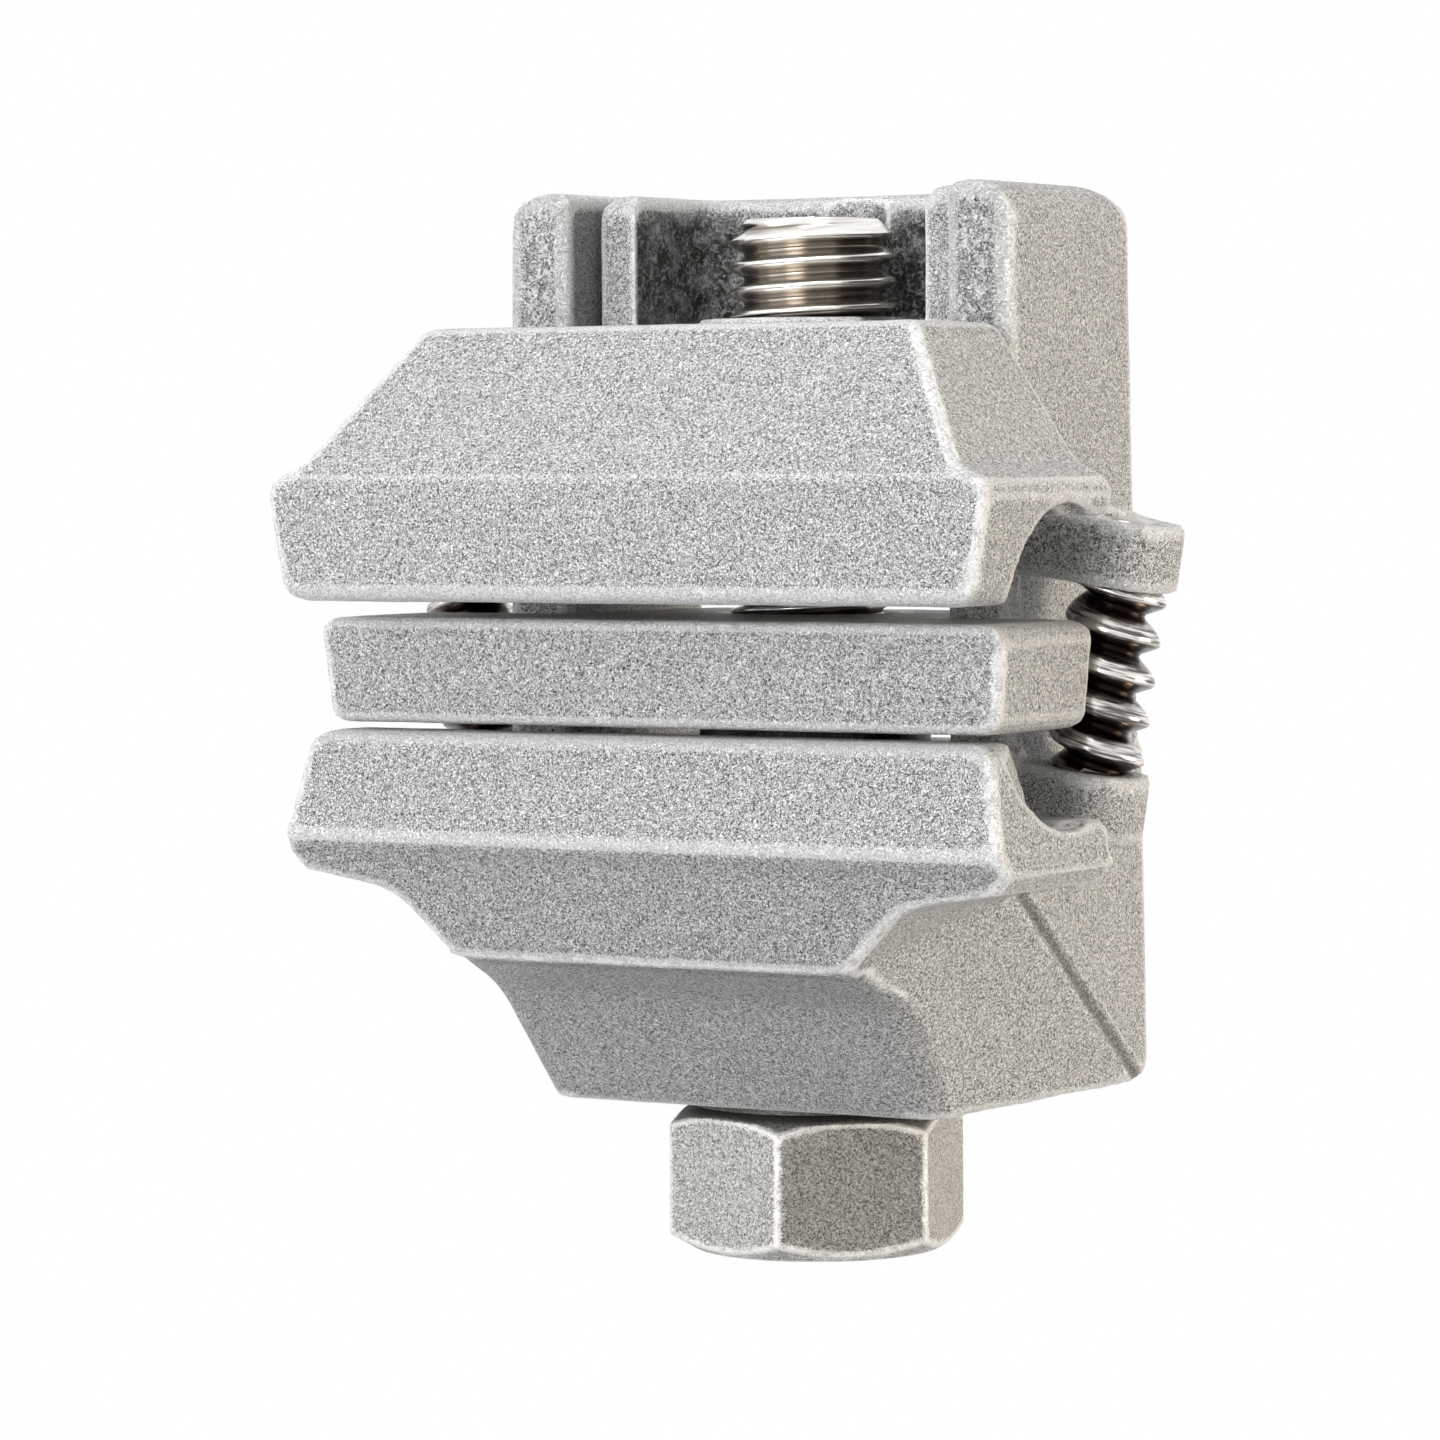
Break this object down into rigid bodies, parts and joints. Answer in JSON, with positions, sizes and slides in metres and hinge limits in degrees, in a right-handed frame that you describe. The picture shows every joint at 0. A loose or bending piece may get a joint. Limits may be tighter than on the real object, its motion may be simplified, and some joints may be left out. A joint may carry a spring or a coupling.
{
  "type": "bolted tap connector",
  "caption": "Vise-type tap connector: a lower casting with two posts, a sliding upper casting and a spacer bar, squeezed by a hex bolt onto a run and a tap conductor.",
  "frame": {"origin": "on the axis of the run groove, half-way along it", "axes": "+X along both grooves, to the right seen from the jaws; +Y from the jaws to the posts at the back; +Z along the bolt, away from its head"},
  "size_m": [0.0628, 0.0383, 0.0756],
  "materials": {
    "cast_aluminium": "shot-blasted sand casting, matt, worn bright on its edges",
    "bolt_steel": "bare steel, grainy on the head, bright on the thread",
    "stud_steel": "bright turned steel",
    "spring_steel": "dark oiled spring steel"
  },
  "bodies": {
    "body": {"body": "cast_aluminium", "bolt_washer": "bolt_steel", "side_stud_right": "stud_steel", "side_stud_left": "stud_steel"},
    "bolt": {"clamp_bolt": "bolt_steel", "retaining_ring": "spring_steel"},
    "keeper": {"keeper": "cast_aluminium", "thread_insert": "bolt_steel"},
    "spacer": {"spacer": "cast_aluminium"}
  },
  "joints": [
    {"name": "bolt_turn", "type": "hinge", "parent": "body", "child": "bolt", "pos_m": [0, 0.0155, -0.039], "axis": [0, 0, -1], "range_deg": [-144.1, 2700.1]},
    {"name": "keeper_slide", "type": "slide", "parent": "body", "child": "keeper", "axis": [0, 0, 1], "range_m": [-0.0007, 0.01312]},
    {"name": "spacer_slide", "type": "slide", "parent": "body", "child": "spacer", "axis": [0, 0, 1], "range_m": [-0.00035, 0.00656]}
  ],
  "couplings": [
    {"joint": "bolt_turn", "follows": "keeper_slide", "rad_per_m": 3590.4},
    {"joint": "spacer_slide", "follows": "keeper_slide", "ratio": 0.5}
  ]
}
